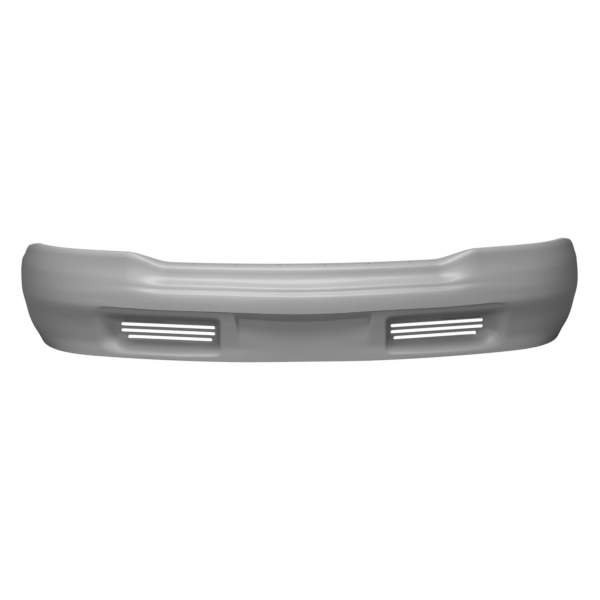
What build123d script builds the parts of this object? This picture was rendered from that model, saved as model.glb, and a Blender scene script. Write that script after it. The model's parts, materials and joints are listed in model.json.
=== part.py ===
"""Front bumper cover of a mid-size pickup or sport utility: a moulded thermoplastic skin with a number-plate
recess and two slotted air pockets, and the pressed-steel hardware that stays on it when it comes off the vehicle.

Frame: +X to the vehicle's left as seen from in front, -Y towards the front of the vehicle, +Z up. The origin is
the middle of the footprint: on the mid-plane, halfway from the nose to the rear corners, level with the lower edge.
"""

import math
import os

from build123d import *

# ---- Overall shape, in millimetres -------------------------------------------------------------------------
DEPTH = 515.0  # nose to rear corner, along Y
WALL = 3.0  # moulded wall thickness

# Plan curve: how the front edge turns, by arc length from the mid-plane.
FRONT_RADIUS = 1955.0
CORNER_RADIUS = 273.0
CORNER_IN = (640.0, 783.0)  # the front arc tightens into the corner between these
CORNER_OUT = (927.0, 1071.0)  # the corner straightens into the side between these
SIDE_END = 1215.0
MIDDLE_OVERLAP = 60.0  # the middle's surfaces run this far past the mid-plane, so they cross it smoothly
PLAN_STEP = 1.0

# The raised ends that fill up to the headlamps, and where the front section turns into the side section.
STEP_UP = (417.0, 546.0)  # where the top edge climbs, as arc lengths
TURN_TO_SIDE = (520.0, 920.0)
TURN_TO_SIDE_LOW = (640.0, 1000.0)  # the same for the lower face
TOP_DROP_START = 880.0  # behind here the top edge falls towards the wheel opening
TOP_DROP = 95.0
TOP_DROP_POWER = 1.15
WAIST = 209.0  # height that stays level while the top edge falls

# Cross-sections as (inset, height): inset is measured inwards from the plan curve.
# Each lists the upper face from the flange's front corner down to the lip, then the lower face down to the edge.
CENTRE_UPPER = [
    (80, 278), (67, 269.5), (59.5, 251), (50.5, 236.5), (35.5, 224.5),
    (26.5, 217), (23.5, 209), (13, 200.5), (8, 190.5), (2.8, 169), (0, 149.5),
]  # fmt: skip
MIDDLE_UPPER = [
    (80, 278), (67, 270), (59.5, 252), (51, 239), (36, 228.5),
    (27.5, 221), (24, 213), (14, 204.5), (8.5, 195), (3, 175), (0, 156),
]  # fmt: skip
RAISED_UPPER = [
    (52, 314), (47, 305), (43, 289), (37, 267), (27, 243.5),
    (21, 230.5), (17.5, 219.5), (12.5, 209.5), (9, 198.5), (3.8, 177), (0, 158),
]  # fmt: skip
SIDE_UPPER = [
    (26, 320.5), (20.5, 308), (16, 290), (10.5, 267), (6.5, 245),
    (5, 234), (4, 223), (3.2, 212), (2.4, 200), (1.2, 181), (1, 161),
]  # fmt: skip
FRONT_LOWER = [(11.5, 113), (17.5, 62), (18, 39), (14.5, 22), (12, 8), (10.5, 0)]
SIDE_LOWER = [(9.5, 115), (22.5, 62), (33, 39), (43, 22), (50.5, 8), (55, 0)]
CENTRE_DIP = (0.0, 300.0)  # the rolls and the lip rise from the mid-plane to here
CREASE_FADE = (490.0, 640.0)  # the crease between the two rolls dies away between these
CREASE_POINTS = (4, 8)  # upper points that stay while those between them are drawn onto their line
LIP_STEP, LIP_DROP = 6.0, 4.0  # how far the lower face starts behind and below the lip
LIP_STEP_SIDE = 1.0
LIP_FADE = (600.0, 690.0)  # the lip's step dies away between these

# Mounting flanges, as the inset they run in from their corner.
TOP_FLANGE_CENTRE, TOP_FLANGE_RAISED, TOP_FLANGE_SIDE = 31.0, 14.0, 10.0
BOTTOM_STEP = (6.0, 3.0)  # the lower edge steps in and up by this before its flange
BOTTOM_FLANGE_FRONT, BOTTOM_FLANGE_SIDE = 29.0, 12.0
WHEEL_FLANGE = 22.0

# Wheel opening, as a circle seen from the side: its centre behind the nose and below the lower edge.
WHEEL_BACK, WHEEL_DROP, WHEEL_RADIUS = 830.0, 60.0, 430.0

# Number-plate recess: a flat panel with a sloping roof that starts just behind the lip.
PLATE_HALF_WIDTH = 190.0
PLATE_TOP = 118.0
PLATE_FOOT_DEPTH, PLATE_TOP_DEPTH = 18.0, 36.0
PLATE_SIDE_DRAFT = 0.7  # the side walls open by this much per unit of depth
ROOF_START = (3.0, 147.5)  # inset and height at the mid-plane

# Air pockets, in the upright plane that touches the plan curve at POCKET_AT: inner end, outer end, bottom, top.
POCKET_AT = 425.0
POCKET_FLOOR = (-157.0, 150.0, 42.0, 113.0)
POCKET_MOUTH = (-184.0, 212.0, 14.0, 137.0)
POCKET_FLOOR_DEPTH, POCKET_MOUTH_DEPTH = 66.0, 8.0
POCKET_FLARE = 0.56  # how far past the mouth the pocket's walls are carried on
POCKET_CORNER = 18.0
SLOT_LENGTHS = (290.0, 290.0, 260.0)  # top to bottom
SLOT_SHIFTS = (-4.0, -4.0, -10.0)
SLOT_HEIGHT = 9.6
SLOT_PITCH = 18.75
SLOT_TOP = 92.0
GROOVE_LENGTH, GROOVE_HEIGHT, GROOVE_DEPTH = 120.0, 6.0, 1.2
GROOVE_SHIFT = 70.0
GROOVE_LEVEL = 105.0

# Upper retainer strip, an angle of pressed steel under the top flange.
STRIP_THICKNESS = 1.5
UPPER_STRIP_END = 395.0  # arc length from the mid-plane
UPPER_STRIP_INSETS = (84.0, 110.0)
UPPER_STRIP_LIP = 12.0
UPPER_ROW_INSET = 97.0  # the row of holes and pegs
BODY_HOLES_AT = (70.0, 210.0, 340.0)
BODY_HOLE_RADIUS = 3.5
UPPER_PEGS_AT = (0.0, 140.0, 280.0, 378.0)

# Lower reinforcement strip, an angle of pressed steel on the bottom flange.
LOWER_STRIP_END = 330.0
LOWER_STRIP_INSETS = (27.0, 44.0)
LOWER_STRIP_LIP = 9.0
LOWER_ROW_INSET = 35.0
LOWER_PEGS_AT = (0.0, 150.0, 300.0)
LOWER_NUTS_AT = (365.0, 500.0)

# Moulded pegs and the push nuts that lock on them.
PEG_RADIUS = 2.5
PEG_LENGTH = 8.0
PEG_HOLE_RADIUS = 2.8
PUSH_NUT_RADIUS = 6.5
PUSH_NUT_THICKNESS = 0.6
PUSH_NUT_BORE_RADIUS = 2.53
PUSH_NUT_SLITS = 6
PUSH_NUT_SLIT = (1.0, 2.4)  # width, and length beyond the bore

# Side brackets: a flat web behind the skin, parallel to the plan curve where it runs straight.
BRACKET_AT = 1071.0
BRACKET_WEB = (-45.0, 75.0, 176.0, 220.0)  # rear end, front end, bottom, top
BRACKET_INSET = 10.0
BRACKET_LEDGE = 20.0
BRACKET_CORNER = 6.0
BRACKET_PEGS = ((60.0, 188.0), (8.0, 206.0), (-32.0, 188.0))
BRACKET_STUDS = ((36.0, 198.0), (-12.0, 194.0))
PAD_RADIUS = 6.0
STUD_RADIUS = 3.0
STUD_LENGTH = 20.0
STUD_HEAD = (5.5, 2.0)  # radius and thickness
STUD_NECK_RADIUS = 3.4  # the plain neck that fills the bracket's hole
STUD_HOLE_RADIUS = 3.43
STUD_CHAMFER = 0.5

# Spring nuts that clip over the free edge of a flange.
NUT_WIDTH = 14.0
NUT_LEG = 19.0
NUT_STEEL = 0.8
NUT_EDGE_GAP = 6.0  # between the flange's edge and the bend of the nut
NUT_FACE_GAP = 0.08  # between each leg and the flange
NUT_COLLAR = (4.0, 2.1, 3.0)  # outer radius, bore radius, height
NUT_CLEARANCE_RADIUS = 2.8
FLANGE_HOLE_RADIUS = 4.0
NUT_HOLE_IN = 8.0  # from the flange's free edge
WHEEL_NUTS_HIGH = (60.0, 102.0, 144.0)  # heights above the lower edge

HALF_DEPTH = DEPTH / 2
REACH = 145.0  # how far in the solid behind the skin goes
OVERCUT = 10.0  # how far a tool that only removes material runs past what it cuts
THROUGH = 12.0  # length of a tool that cuts a hole through one sheet
END_STATION = 1190.0
STATION_GAP = 26.0
CORE_GAPS = 6  # between the sections of the space behind the side
CORE_UPPER_POINTS = (0, 4, 7, 10)  # the points of the upper and lower faces that this space follows
CORE_LOWER_POINTS = (2, 4, 6)


def smooth(value, start, end):
    """0 before start, 1 after end, and an even S between them."""
    t = min(1.0, max(0.0, (value - start) / (end - start)))
    return t * t * (3 - 2 * t)


def mix(a, b, share):
    """The point or number a share of the way from a to b."""
    if isinstance(a, tuple):
        return tuple(mix(p, q, share) for p, q in zip(a, b))
    return a + (b - a) * share


def trace_plan():
    """Points (arc length, x, distance behind the nose, heading) along one half of the plan curve."""
    points = []
    length, x, back, heading = 0.0, 0.0, 0.0, 0.0
    while length <= SIDE_END:
        if length <= CORNER_IN[0]:
            heading = length / FRONT_RADIUS
            x = FRONT_RADIUS * math.sin(heading)
            back = FRONT_RADIUS * (1 - math.cos(heading))
        points.append((length, x, back, heading))
        curvature = mix(1 / FRONT_RADIUS, 1 / CORNER_RADIUS, smooth(length, *CORNER_IN))
        curvature *= 1 - smooth(length, *CORNER_OUT)
        middle = heading + curvature * PLAN_STEP / 2
        x += math.cos(middle) * PLAN_STEP
        back += math.sin(middle) * PLAN_STEP
        heading += curvature * PLAN_STEP
        length += PLAN_STEP
    return points


PLAN = trace_plan()


def plan_point(length):
    """The x, distance behind the nose and heading at an arc length, which is negative on the right."""
    _, x, back, heading = PLAN[round(abs(length) / PLAN_STEP)]
    return (x, back, heading) if length >= 0 else (-x, back, -heading)


def section_plane(length):
    """The upright plane square to the plan curve: local x runs inwards and local y runs up."""
    x, back, heading = plan_point(length)
    return Plane(
        origin=(x, back - HALF_DEPTH, 0),
        x_dir=(-math.sin(heading), math.cos(heading), 0),
        z_dir=(math.cos(heading), math.sin(heading), 0),
    )


def touching_plane(length, inset=0.0):
    """The upright plane that touches the plan curve, moved inwards: local x runs outboard and local y runs up."""
    x, back, heading = plan_point(length)
    along = Vector(math.cos(heading), math.sin(heading), 0)
    inward = Vector(-math.sin(heading), math.cos(heading), 0)
    return Plane(origin=Vector(x, back - HALF_DEPTH, 0) + inward * inset, x_dir=along, z_dir=-inward)


def level_plane(length, inset, height, towards=1):
    """A level plane at a place on the cover, its local x running inwards, facing up or down."""
    x, back, heading = plan_point(length)
    inward = Vector(-math.sin(heading), math.cos(heading), 0)
    origin = Vector(x, back - HALF_DEPTH, height) + inward * inset
    return Plane(origin=origin, x_dir=inward, z_dir=(0, 0, towards))


def outlines(length):
    """The outer cross-section at an arc length: top flange, upper face, lip, lower face and bottom flange."""
    length = abs(length)
    raised = smooth(length, *STEP_UP)
    side = smooth(length, *TURN_TO_SIDE)
    side_low = smooth(length, *TURN_TO_SIDE_LOW)
    middle = [mix(a, b, smooth(length, *CENTRE_DIP)) for a, b in zip(CENTRE_UPPER, MIDDLE_UPPER)]
    front = [mix(a, b, raised) for a, b in zip(middle, RAISED_UPPER)]
    upper = [mix(a, b, side) for a, b in zip(front, SIDE_UPPER)]
    first, last = CREASE_POINTS
    faded = smooth(length, *CREASE_FADE)
    for k in range(first + 1, last):
        share = (upper[first][1] - upper[k][1]) / (upper[first][1] - upper[last][1])
        upper[k] = (mix(upper[k][0], mix(upper[first][0], upper[last][0], share), faded), upper[k][1])
    fall = max(0.0, (length - TOP_DROP_START) / (SIDE_END - TOP_DROP_START)) ** TOP_DROP_POWER * TOP_DROP
    top = upper[0][1]
    squeeze = 1 - fall / (top - WAIST)
    upper = [(n, WAIST + (z - WAIST) * squeeze if z > WAIST else z) for n, z in upper]
    lip = upper[-1]
    under_lip = (lip[0] + mix(LIP_STEP, LIP_STEP_SIDE, smooth(length, *LIP_FADE)), lip[1] - LIP_DROP)
    lower = [under_lip] + [mix(a, b, side_low) for a, b in zip(FRONT_LOWER, SIDE_LOWER)]
    flange = mix(mix(TOP_FLANGE_CENTRE, TOP_FLANGE_RAISED, raised), TOP_FLANGE_SIDE, side)
    corner, edge = upper[0], lower[-1]
    flange_end = (corner[0] + flange, corner[1])
    step = (edge[0] + BOTTOM_STEP[0], edge[1] + BOTTOM_STEP[1])
    foot = (step[0] + mix(BOTTOM_FLANGE_FRONT, BOTTOM_FLANGE_SIDE, side_low), step[1])
    return [[flange_end, corner], upper, [lip, under_lip], lower, [edge, step, foot]]


def moved_inwards(pieces, distance):
    """The same outlines moved inwards by a distance, with square corners."""
    flat = [pieces[0][0]] + [point for piece in pieces for point in piece[1:]]
    moved = []
    for i, (n, z) in enumerate(flat):
        before, after = flat[max(i - 1, 0)], flat[min(i + 1, len(flat) - 1)]
        arriving = Vector(n - before[0], z - before[1]).normalized() if i else None
        leaving = Vector(after[0] - n, after[1] - z).normalized() if i < len(flat) - 1 else arriving
        arriving = arriving or leaving
        bisector = (arriving + leaving).normalized()
        reach = distance / bisector.dot(arriving)
        moved.append((n - bisector.Y * reach, z + bisector.X * reach))
    shifted, at = [], 0
    for piece in pieces:
        shifted.append(moved[at : at + len(piece)])
        at += len(piece) - 1
    return shifted


def closed_section(length, plane, wall):
    """The face between the outline, moved inwards by wall, and the far end of the space behind it."""
    pieces = outlines(length)
    if wall:
        pieces = moved_inwards(pieces, wall)
    flange, upper, lip, lower, foot = pieces
    if wall:
        way_back = [(REACH + OVERCUT, foot[-1][1]), (REACH + OVERCUT, flange[0][1])]
    else:
        low, high = foot[-1][1] + 2 * WALL, flange[0][1] - 2 * WALL
        way_back = [(foot[-1][0], low), (REACH, low), (REACH, high), (flange[0][0], high)]
    with BuildSketch(plane) as section:
        with BuildLine():
            Line(*flange)
            Spline(*upper)
            Line(*lip)
            Spline(*lower)
            Polyline(*foot)
            Polyline(foot[-1], *way_back, flange[0])
        make_face()
    return section.sketch


# ---- Sub-parts ---------------------------------------------------------------------------------------------
PLAN_CENTRE = Axis((0, FRONT_RADIUS - HALF_DEPTH, 0), (0, 0, 1))


def arc_degrees(length):
    """The angle that an arc length takes up on the front radius."""
    return math.degrees(length / FRONT_RADIUS)


def lofted(start, end, wall):
    """The solid between two arc lengths behind the outline, which is moved inwards by wall."""
    count = round((end - start) / STATION_GAP)
    lengths = [round(start + (end - start) * i / count) for i in range(count + 1)]
    sections = [closed_section(length, section_plane(length), wall) for length in lengths]
    with BuildPart() as piece:
        loft(sections=sections)
    return piece.part


def half_block(wall):
    """Half of the solid behind the outline, moved inwards by wall."""
    with BuildPart() as block:
        add(lofted(-MIDDLE_OVERLAP, STEP_UP[0], wall))
        if not wall:
            split(bisect_by=Plane.YZ, keep=Keep.TOP)
        add(lofted(STEP_UP[0], END_STATION, wall))
    return block.part


def pocket_tool(grow):
    """The space of one air pocket, from in front of the skin down to its floor, grown by a wall."""
    steps = []
    for share in (0.0, 1.0, 1.0 + POCKET_FLARE):
        near, far, low, high = mix(POCKET_FLOOR, POCKET_MOUTH, share)
        depth = mix(POCKET_FLOOR_DEPTH, POCKET_MOUTH_DEPTH, share) + (grow if share == 0 else 0)
        with BuildSketch(touching_plane(POCKET_AT, depth)) as step:
            with Locations(((near + far) / 2, (low + high) / 2)):
                RectangleRounded(far - near + 2 * grow, high - low + 2 * grow, POCKET_CORNER + grow)
        steps.append(step.sketch)
    with BuildPart() as tool:
        loft(sections=steps, ruled=True)
    return tool.part


def slot_tools():
    """The three through slots of one pocket and the shallow groove above them."""
    with BuildPart() as tool:
        with BuildSketch(touching_plane(POCKET_AT, POCKET_FLOOR_DEPTH + WALL + OVERCUT)):
            for i, (span, shift) in enumerate(zip(SLOT_LENGTHS, SLOT_SHIFTS)):
                with Locations((shift, SLOT_TOP - SLOT_PITCH * i)):
                    SlotOverall(span, SLOT_HEIGHT)
        extrude(amount=WALL + 2 * OVERCUT)
        with BuildSketch(touching_plane(POCKET_AT, POCKET_FLOOR_DEPTH + GROOVE_DEPTH)):
            with Locations((GROOVE_SHIFT, GROOVE_LEVEL)):
                SlotOverall(GROOVE_LENGTH, GROOVE_HEIGHT)
        extrude(amount=GROOVE_DEPTH + OVERCUT)
    return tool.part


def plate_tool(grow):
    """The space of the number-plate recess, grown by a wall, on both sides of the mid-plane."""
    slope = (PLATE_TOP_DEPTH - PLATE_FOOT_DEPTH) / PLATE_TOP
    foot_depth = PLATE_FOOT_DEPTH - slope * OVERCUT + grow
    roof = (ROOF_START[0] - PLATE_TOP_DEPTH, ROOF_START[1] - PLATE_TOP)
    lift = grow * math.hypot(*roof) / -roof[0]
    top = PLATE_TOP + lift + grow * roof[1] / roof[0]
    ahead = ROOF_START[0] - 2 * OVERCUT
    outline = [
        (foot_depth, -OVERCUT),
        (PLATE_TOP_DEPTH + grow, top),
        (ROOF_START[0], ROOF_START[1] + lift),
        (ahead, ROOF_START[1] + lift),
        (ahead, -OVERCUT),
    ]
    half_width = PLATE_HALF_WIDTH + grow
    untrimmed = half_width + PLATE_SIDE_DRAFT * (PLATE_TOP_DEPTH - ahead) + OVERCUT
    with BuildPart() as tool:
        with BuildSketch(section_plane(0)):
            with BuildLine():
                Polyline(*outline, close=True)
            make_face()
        extrude(amount=untrimmed, both=True)
        for side in (-1, 1):
            wall_plane = Plane(
                origin=(side * half_width, PLATE_FOOT_DEPTH - HALF_DEPTH, 0),
                z_dir=(side, PLATE_SIDE_DRAFT, -PLATE_SIDE_DRAFT * slope),
            )
            split(bisect_by=wall_plane, keep=Keep.BOTTOM)
    return tool.part


def wheel_tool(grow):
    """The wheel opening, as a round bar across the vehicle."""
    with BuildPart() as tool:
        with BuildSketch(Plane.YZ.offset(PLATE_HALF_WIDTH)):
            with Locations((WHEEL_BACK - HALF_DEPTH, -WHEEL_DROP)):
                Circle(WHEEL_RADIUS + grow)
        extrude(amount=PLAN[-1][1])
    return tool.part


def side_core():
    """The space further in than the wheel opening's flange, behind the cover's side."""
    first = CORNER_OUT[0]
    gap = (END_STATION - first) / CORE_GAPS
    depth = WALL + WHEEL_FLANGE
    steps = []
    for i in range(CORE_GAPS + 1):
        length = round(first + gap * i)
        upper, lower = outlines(length)[1], outlines(length)[3]
        followed = [upper[k] for k in CORE_UPPER_POINTS] + [lower[k] for k in CORE_LOWER_POINTS]
        face = [(n + depth, z) for n, z in followed]
        high, low = face[0][1] + OVERCUT, -OVERCUT
        with BuildSketch(section_plane(length)) as step:
            with BuildLine():
                Polyline((REACH + 2 * OVERCUT, high), (face[0][0], high), *face, (face[-1][0], low))
                Polyline((face[-1][0], low), (REACH + 2 * OVERCUT, low), (REACH + 2 * OVERCUT, high))
            make_face()
        steps.append(step.sketch)
    with BuildPart() as core:
        loft(sections=steps, ruled=True)
    return core.part


def half_core():
    """Half of everything that is hollow behind the skin, with the recesses' back walls left standing."""
    with BuildPart() as core:
        add(half_block(WALL))
        add(pocket_tool(WALL), mode=Mode.SUBTRACT)
        add(plate_tool(WALL), mode=Mode.SUBTRACT)
        add(wheel_tool(WALL), mode=Mode.SUBTRACT)
    return core.part


def half_skin():
    """Half of the moulded skin, before its pegs, pads and fixing holes."""
    with BuildPart() as half:
        add(half_block(0))
        add(pocket_tool(0), mode=Mode.SUBTRACT)
        add(plate_tool(0), mode=Mode.SUBTRACT)
        add(wheel_tool(0), mode=Mode.SUBTRACT)
        split(bisect_by=Plane.XZ.offset(-HALF_DEPTH), keep=Keep.TOP)
        add(half_core(), mode=Mode.SUBTRACT)
        add(side_core(), mode=Mode.SUBTRACT)
        add(slot_tools(), mode=Mode.SUBTRACT)
    return half.part


def both_sides(lengths):
    """The same arc lengths on both sides of the mid-plane, each once."""
    return sorted({side * length for length in lengths for side in (-1, 1)})


def peg_planes(kind):
    """The planes where pegs of one kind meet the sheet they pass through, facing along the peg."""
    if kind == "upper":
        height = CENTRE_UPPER[0][1] - WALL
        return [level_plane(length, UPPER_ROW_INSET, height, -1) for length in both_sides(UPPER_PEGS_AT)]
    if kind == "lower":
        height = BOTTOM_STEP[1] + WALL
        return [level_plane(length, LOWER_ROW_INSET, height) for length in both_sides(LOWER_PEGS_AT)]
    web = bracket_plane(BRACKET_INSET)
    return [shifted_plane(web, x, y) for x, y in BRACKET_PEGS]


def left_pads(planes):
    """The pads behind the left side that carry the bracket's pegs, rooted halfway through the wall."""
    with BuildPart() as pads:
        with Locations(*[shifted_plane(p, 0, 0, -BRACKET_INSET) for p in planes]):
            Cylinder(PAD_RADIUS, BRACKET_INSET, align=UPWARDS)
        add(half_block(WALL / 2), mode=Mode.INTERSECT)
    return pads.part


def bracket_plane(inset):
    """The plane of the left side bracket, facing inboard: local x runs forward and local y runs up."""
    facing = touching_plane(BRACKET_AT, inset)
    return Plane(origin=facing.origin, x_dir=-facing.x_dir, z_dir=-facing.z_dir)


def shifted_plane(plane, x, y, z=0.0):
    """The same plane with its origin moved to a local point."""
    return Plane(origin=plane.from_local_coords(Vector(x, y, z)), x_dir=plane.x_dir, z_dir=plane.z_dir)


def mirrored_plane(plane):
    """The plane on the other side of the vehicle."""
    origin, facing, along = plane.origin, plane.z_dir, plane.x_dir
    return Plane(
        origin=(-origin.X, origin.Y, origin.Z),
        x_dir=(-along.X, along.Y, along.Z),
        z_dir=(-facing.X, facing.Y, facing.Z),
    )


def wheel_edge_planes():
    """Where the left wheel opening's flange has its holes: on the free edge, halfway through, local x outboard."""
    planes = []
    for height in WHEEL_NUTS_HIGH:
        middle = WHEEL_RADIUS + WALL / 2
        rise = height + WHEEL_DROP
        back = WHEEL_BACK - math.sqrt(middle**2 - rise**2)
        for length, x, behind, heading in PLAN:
            inset = inset_at(outlines(length)[3], height)
            past = behind + math.cos(heading) * inset - back
            if past >= 0:
                break
        edge = x + past - (inset + WALL + WHEEL_FLANGE) / math.sin(heading)
        outward = Vector(0, back - WHEEL_BACK, rise).normalized()
        planes.append(Plane(origin=(edge, back - HALF_DEPTH, height), x_dir=(1, 0, 0), z_dir=outward))
    return planes


def inset_at(face, height):
    """The inset of a falling outline at a height."""
    for (n, z), (next_n, next_z) in zip(face, face[1:]):
        if next_z <= height <= z:
            return mix(n, next_n, (z - height) / (z - next_z))
    return face[0][0]


def lower_edge_planes():
    """Where the bottom flange has its nut holes: on the free edge, halfway through, local x towards the front."""
    edge = outlines(0)[4][-1]
    planes = []
    for length in both_sides(LOWER_NUTS_AT):
        level = level_plane(length, edge[0], edge[1] + WALL / 2)
        planes.append(Plane(origin=level.origin, x_dir=-level.x_dir, z_dir=(0, 0, 1)))
    return planes


# ---- The moulded skin ----------------------------------------------------------------------------------------
one_half = half_skin()
UPWARDS = (Align.CENTER, Align.CENTER, Align.MIN)
left_wheel_edge = wheel_edge_planes()
wheel_edge = left_wheel_edge + [mirrored_plane(plane) for plane in left_wheel_edge]
left_pegs = peg_planes("bracket")
side_pegs = left_pegs + [mirrored_plane(plane) for plane in left_pegs]
one_side_pads = left_pads(left_pegs)

with BuildPart() as fascia_skin:
    add(one_half)
    mirror(about=Plane.YZ)
    with Locations(*[shifted_plane(p, 0, 0, -WALL / 2) for p in peg_planes("upper") + peg_planes("lower")]):
        Cylinder(PEG_RADIUS, PEG_LENGTH + WALL / 2, align=UPWARDS)
    add(one_side_pads)
    mirror(one_side_pads, about=Plane.YZ)
    with Locations(*side_pegs):
        Cylinder(PEG_RADIUS, PEG_LENGTH, align=UPWARDS)
    flange_top = CENTRE_UPPER[0][1]
    with Locations(*[level_plane(s, UPPER_ROW_INSET, flange_top) for s in both_sides(BODY_HOLES_AT)]):
        Cylinder(BODY_HOLE_RADIUS, THROUGH, mode=Mode.SUBTRACT)
    with Locations(*[shifted_plane(p, NUT_HOLE_IN, 0) for p in wheel_edge + lower_edge_planes()]):
        Cylinder(FLANGE_HOLE_RADIUS, THROUGH, mode=Mode.SUBTRACT)


# ---- Steel strips --------------------------------------------------------------------------------------------
def turned_strip(half_length, outline):
    """A strip that follows the front arc on both sides of the mid-plane."""
    with BuildPart() as strip:
        with BuildSketch(section_plane(half_length)):
            with BuildLine():
                Polyline(*outline, close=True)
            make_face()
        revolve(axis=-PLAN_CENTRE, revolution_arc=2 * arc_degrees(half_length))
    return strip.part


def angle_outline(insets, height, lip, facing):
    """An angle section: a flat between two insets and a lip at the inner one, going up or down."""
    front, rear = insets
    flat = height + facing * STRIP_THICKNESS
    return [
        (front, height),
        (rear, height),
        (rear, height + facing * lip),
        (rear - STRIP_THICKNESS, height + facing * lip),
        (rear - STRIP_THICKNESS, flat),
        (front, flat),
    ]


with BuildPart() as upper_retainer_strip:
    under_flange = CENTRE_UPPER[0][1] - WALL
    add(turned_strip(UPPER_STRIP_END, angle_outline(UPPER_STRIP_INSETS, under_flange, UPPER_STRIP_LIP, -1)))
    with Locations(*peg_planes("upper")):
        Cylinder(PEG_HOLE_RADIUS, THROUGH, mode=Mode.SUBTRACT)
    with Locations(*[level_plane(s, UPPER_ROW_INSET, under_flange) for s in both_sides(BODY_HOLES_AT)]):
        Cylinder(BODY_HOLE_RADIUS, THROUGH, mode=Mode.SUBTRACT)

with BuildPart() as lower_reinforcement_strip:
    on_flange = BOTTOM_STEP[1] + WALL
    add(turned_strip(LOWER_STRIP_END, angle_outline(LOWER_STRIP_INSETS, on_flange, LOWER_STRIP_LIP, 1)))
    with Locations(*peg_planes("lower")):
        Cylinder(PEG_HOLE_RADIUS, THROUGH, mode=Mode.SUBTRACT)


# ---- Side brackets -------------------------------------------------------------------------------------------
with BuildPart() as side_bracket_left:
    rear_end, front_end, web_low, web_high = BRACKET_WEB
    with BuildSketch(bracket_plane(BRACKET_INSET)):
        with Locations(((front_end + rear_end) / 2, (web_low + web_high) / 2)):
            Rectangle(front_end - rear_end, web_high - web_low)
        with Locations(*BRACKET_PEGS):
            Circle(PEG_HOLE_RADIUS, mode=Mode.SUBTRACT)
        with Locations(*BRACKET_STUDS):
            Circle(STUD_HOLE_RADIUS, mode=Mode.SUBTRACT)
    extrude(amount=STRIP_THICKNESS)
    with BuildSketch(bracket_plane(BRACKET_INSET + STRIP_THICKNESS)):
        with Locations(((front_end + rear_end) / 2, web_high)):
            Rectangle(front_end - rear_end, STRIP_THICKNESS, align=(Align.CENTER, Align.MAX))
    extrude(amount=BRACKET_LEDGE)
    inward = bracket_plane(0).z_dir
    web_corners = side_bracket_left.edges().filter_by(Axis((0, 0, 0), inward)).group_by(Axis.Z)[0]
    fillet(web_corners.filter_by(GeomType.LINE), BRACKET_CORNER)


# ---- Small fixings -------------------------------------------------------------------------------------------
def push_nuts(planes):
    """Toothed washers that lock on pegs, one on each plane."""
    with BuildPart() as nuts:
        with BuildSketch(*planes):
            Circle(PUSH_NUT_RADIUS)
            Circle(PUSH_NUT_BORE_RADIUS, mode=Mode.SUBTRACT)
            slit_width, slit_length = PUSH_NUT_SLIT
            slit_end = PUSH_NUT_BORE_RADIUS + slit_length
            with PolarLocations(slit_end / 2, PUSH_NUT_SLITS):
                Rectangle(slit_end, slit_width, mode=Mode.SUBTRACT)
        extrude(amount=PUSH_NUT_THICKNESS)
    return nuts.part


def tip_edge(parts, plane):
    """The round edge at the far end of the stud on a plane."""
    tip = plane.from_local_coords(Vector(0, 0, STUD_LENGTH))
    circles = parts.edges().filter_by(GeomType.CIRCLE)
    return circles.sort_by(lambda edge: (edge.arc_center - tip).length)[0]


def studs(planes):
    """Round-headed threaded studs, with the head behind each plane and a plain neck in the bracket's hole."""
    head_radius, head_height = STUD_HEAD
    with BuildPart() as parts:
        with Locations(*[shifted_plane(plane, 0, 0, -head_height) for plane in planes]):
            Cylinder(head_radius, head_height, align=UPWARDS)
        with Locations(*planes):
            Cylinder(STUD_NECK_RADIUS, STRIP_THICKNESS, align=UPWARDS)
            Cylinder(STUD_RADIUS, STUD_LENGTH, align=UPWARDS)
        tips = [tip_edge(parts, plane) for plane in planes]
        chamfer(tips, STUD_CHAMFER)
    return parts.part


def spring_nuts(planes):
    """U-shaped clips over a flange's free edge, with a threaded collar on the far side."""
    inner_half = WALL / 2 + NUT_FACE_GAP
    outer_half = inner_half + NUT_STEEL
    collar_radius, bore_radius, collar_height = NUT_COLLAR
    with BuildPart() as nuts:
        for plane in planes:
            side_on = Plane(origin=plane.origin, x_dir=plane.x_dir, z_dir=-plane.y_dir)
            with BuildSketch(side_on.offset(-NUT_WIDTH / 2)):
                with Locations((-NUT_EDGE_GAP - NUT_STEEL, 0)):
                    Rectangle(NUT_LEG + NUT_STEEL, 2 * outer_half, align=(Align.MIN, Align.CENTER))
                with Locations((-NUT_EDGE_GAP, 0)):
                    Rectangle(NUT_LEG, 2 * inner_half, align=(Align.MIN, Align.CENTER), mode=Mode.SUBTRACT)
            extrude(amount=NUT_WIDTH)
            with Locations(shifted_plane(plane, NUT_HOLE_IN, 0, outer_half)):
                Cylinder(collar_radius, collar_height, align=UPWARDS)
            with Locations(shifted_plane(plane, NUT_HOLE_IN, 0, inner_half)):
                Cylinder(bore_radius, NUT_STEEL + collar_height, align=UPWARDS, mode=Mode.SUBTRACT)
            with Locations(shifted_plane(plane, NUT_HOLE_IN, 0, -outer_half)):
                Cylinder(NUT_CLEARANCE_RADIUS, NUT_STEEL, align=UPWARDS, mode=Mode.SUBTRACT)
    return nuts.part


behind_strip = [shifted_plane(plane, 0, 0, STRIP_THICKNESS) for plane in peg_planes("upper")]
on_strip = [shifted_plane(plane, 0, 0, STRIP_THICKNESS) for plane in peg_planes("lower")]
behind_web = [shifted_plane(plane, 0, 0, STRIP_THICKNESS) for plane in left_pegs]
stud_planes = [shifted_plane(bracket_plane(BRACKET_INSET), x, y) for x, y in BRACKET_STUDS]

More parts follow.
